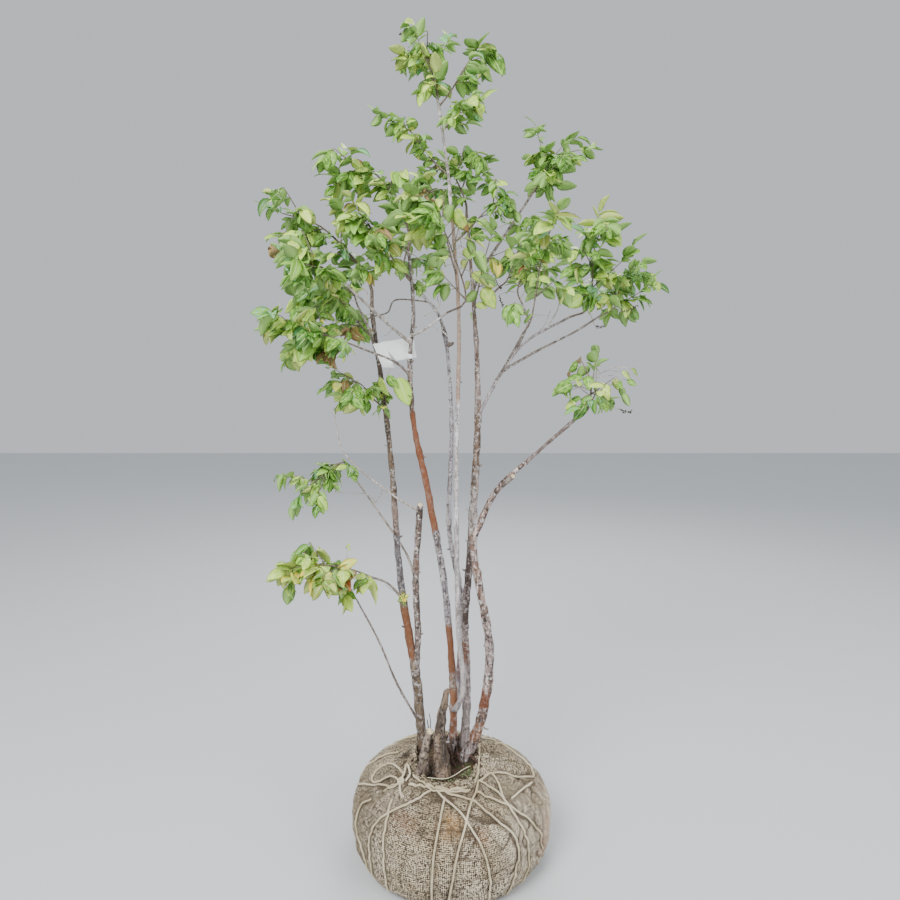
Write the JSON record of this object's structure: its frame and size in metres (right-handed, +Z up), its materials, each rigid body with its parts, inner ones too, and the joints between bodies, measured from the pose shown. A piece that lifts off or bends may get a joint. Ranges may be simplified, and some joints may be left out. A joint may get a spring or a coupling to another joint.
{
  "type": "shrub on a burlap root ball",
  "caption": "Multi-stem deciduous shrub in leaf, with slender leaning stems and open sprays, on a flat-bottomed root ball wrapped in burlap and lashed with twine.",
  "frame": {"origin": "middle of the root ball's flat underside", "axes": "+Z up along the stems; -Y is the side the picture looks at, with the lowest left boughs towards -X"},
  "size_m": [0.9588, 0.6696, 1.9491],
  "materials": {
    "burlap": "coarse jute weave, matte",
    "soil": "crumbly moist soil",
    "twine": "laid jute",
    "grey_bark": "grey, flaking bark",
    "pale_bark": "smooth pale bark",
    "orange_bark": "smooth orange bark",
    "dark_bark": "rough dark bark",
    "leaf_green": "mid-green leaves",
    "leaf_lime": "lime leaves",
    "leaf_bronze": "bronze autumn leaves",
    "card": "blank white label"
  },
  "bodies": {
    "root": {"burlap_wrap": "burlap", "soil_ball": "soil", "twine_lashing": "twine", "stem_left": "orange_bark", "stump_front": "grey_bark", "stump_dark": "dark_bark", "stem_centre": "orange_bark", "stem_back": "grey_bark", "stem_right": "grey_bark", "stem_front_right": "grey_bark", "stub_left": "grey_bark", "leader": "pale_bark", "twig_bare": "orange_bark", "bough_left_middle": "grey_bark", "bough_left_foot": "grey_bark", "bough_low_left": "grey_bark", "bough_left_low": "grey_bark", "bough_left_front": "grey_bark", "bough_front": "grey_bark", "bough_left_back": "grey_bark", "bough_back_left": "grey_bark", "bough_back_right": "grey_bark", "bough_upper_right": "grey_bark", "bough_right": "grey_bark", "bough_right_up": "grey_bark", "bough_right_back": "grey_bark", "bough_right_front": "grey_bark", "foliage_top": "leaf_lime", "foliage_top_right": "leaf_lime", "foliage_top_side": "leaf_green", "foliage_top_left": "leaf_lime", "foliage_centre_left": "leaf_lime", "foliage_far_left": "leaf_green", "foliage_left_mid": "leaf_lime", "foliage_left_front": "leaf_green", "foliage_left_low": "leaf_lime", "foliage_left_inner": "leaf_lime", "foliage_left_back": "leaf_green", "foliage_left_tuft": "leaf_lime", "foliage_centre": "leaf_green", "foliage_centre_front": "leaf_lime", "foliage_centre_right": "leaf_green", "foliage_upper_right": "leaf_green", "foliage_inner": "leaf_lime", "foliage_right_up": "leaf_green", "foliage_right": "leaf_lime", "foliage_far_right": "leaf_green", "foliage_right_low": "leaf_green", "foliage_right_front": "leaf_green", "foliage_front": "leaf_green", "foliage_back": "leaf_green", "foliage_back_left": "leaf_green", "foliage_back_right": "leaf_green", "foliage_left_middle": "leaf_green", "foliage_low_left": "leaf_bronze", "foliage_left_foot": "leaf_bronze", "label": "card"}
  },
  "joints": []
}
